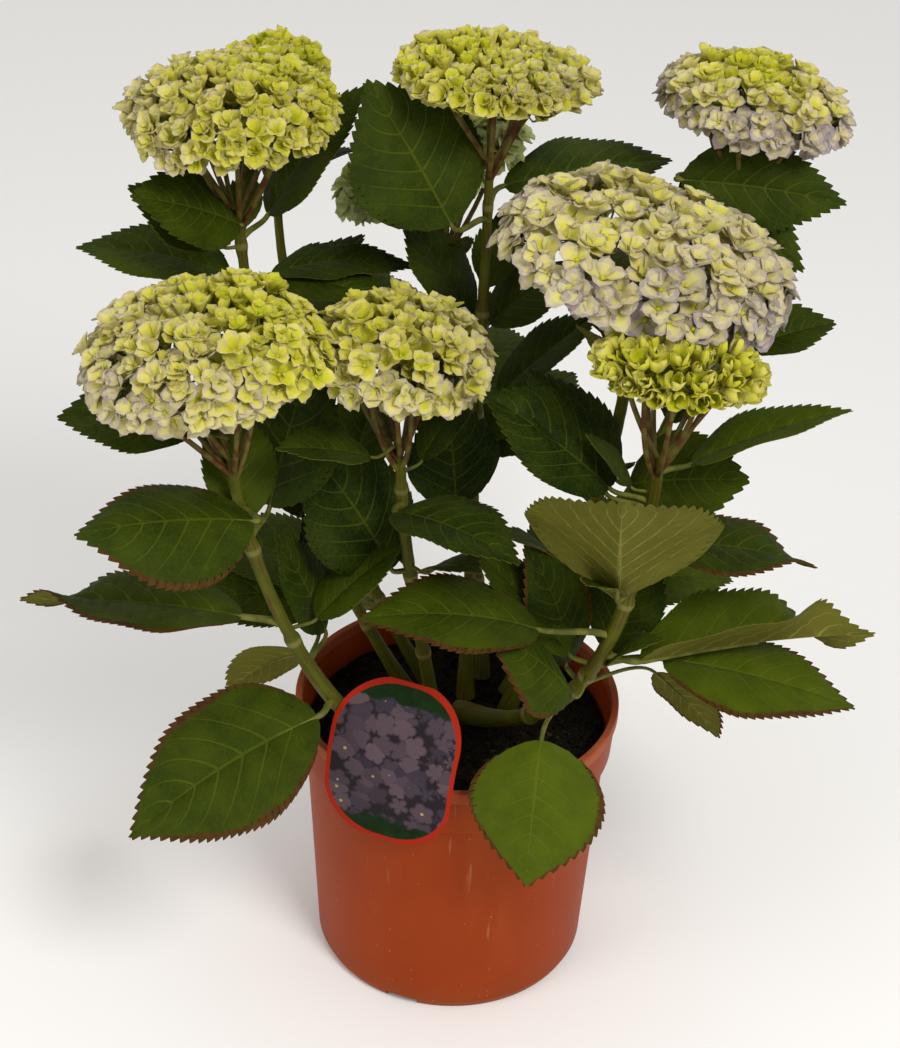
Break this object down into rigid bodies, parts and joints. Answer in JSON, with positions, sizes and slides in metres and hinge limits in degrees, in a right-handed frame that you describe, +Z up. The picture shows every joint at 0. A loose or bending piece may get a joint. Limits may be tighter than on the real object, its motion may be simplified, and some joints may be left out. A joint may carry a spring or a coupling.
{
  "type": "potted hydrangea shrub",
  "caption": "Mophead hydrangea in a terracotta-coloured plastic nursery pot: leaning green canes, broad toothed leaves, domed lime, cream and pale blue flower heads, and a picture label hooked on the rim.",
  "frame": {"origin": "centre of the flat underside of the pot", "axes": "+Z up, -Y the front (the side with the label), +X to the right seen from the front"},
  "size_m": [0.5579, 0.4119, 0.6782],
  "materials": {
    "pot": "thin injection-moulded terracotta-coloured plastic, lightly scuffed",
    "soil": "dark crumbly peat compost",
    "label": "glossy printed plastic label with a red border",
    "stem": "smooth green cane with reddish-brown streaks and swollen nodes",
    "foliage": "dark green quilted leaf with pale veins, olive underside and some scorched margins",
    "flower_head": "soft petals, lime green at the heart to cream, lilac and pale blue at the rim"
  },
  "bodies": {
    "root": {"pot": "pot", "soil": "soil", "tag": "label", "head_left_top": "flower_head", "head_left_rear": "flower_head", "head_centre_top": "flower_head", "head_right_top": "flower_head", "head_right_large": "flower_head", "head_right_young": "flower_head", "head_left_front": "flower_head", "head_centre_front": "flower_head", "head_rear": "flower_head", "cane_left_back": "stem", "cane_left_rear": "stem", "cane_left_front": "stem", "cane_centre_front": "stem", "cane_centre_back": "stem", "cane_rear": "stem", "cane_right_back": "stem", "cane_right_mid": "stem", "cane_right_front": "stem", "leaf_low_left": "foliage", "leaf_mid_left": "foliage", "leaf_far_left": "foliage", "leaf_rim_left": "foliage", "leaf_under_left_head": "foliage", "leaves_left_top": "foliage", "leaf_left_back": "foliage", "leaf_left_top_rear": "foliage", "leaves_left_rear": "foliage", "leaf_centre_top": "foliage", "leaf_centre_back_left": "foliage", "leaf_centre_back_right": "foliage", "leaf_right_top_rear": "foliage", "leaves_right_top": "foliage", "leaf_right_small": "foliage", "leaf_right_long": "foliage", "leaf_right_mid": "foliage", "leaf_right_mid_far": "foliage", "leaf_front_upright": "foliage", "leaf_right_far": "foliage", "leaf_right_low": "foliage", "leaf_right_drop": "foliage", "leaf_front_hang": "foliage", "leaf_centre_low": "foliage", "leaf_centre_round": "foliage", "leaf_front_brown": "foliage", "leaf_centre_fold": "foliage", "leaf_centre_left": "foliage", "leaf_left_slip": "foliage", "leaf_left_tall": "foliage", "leaves_right_tall": "foliage", "leaf_right_inner": "foliage", "leaves_left_inner": "foliage", "leaf_centre_dark": "foliage", "leaves_rear_low_left": "foliage", "leaves_rear_low_right": "foliage", "leaves_rear_middle": "foliage", "leaves_rear_high_left": "foliage", "leaves_rear_high_right": "foliage"}
  },
  "joints": []
}
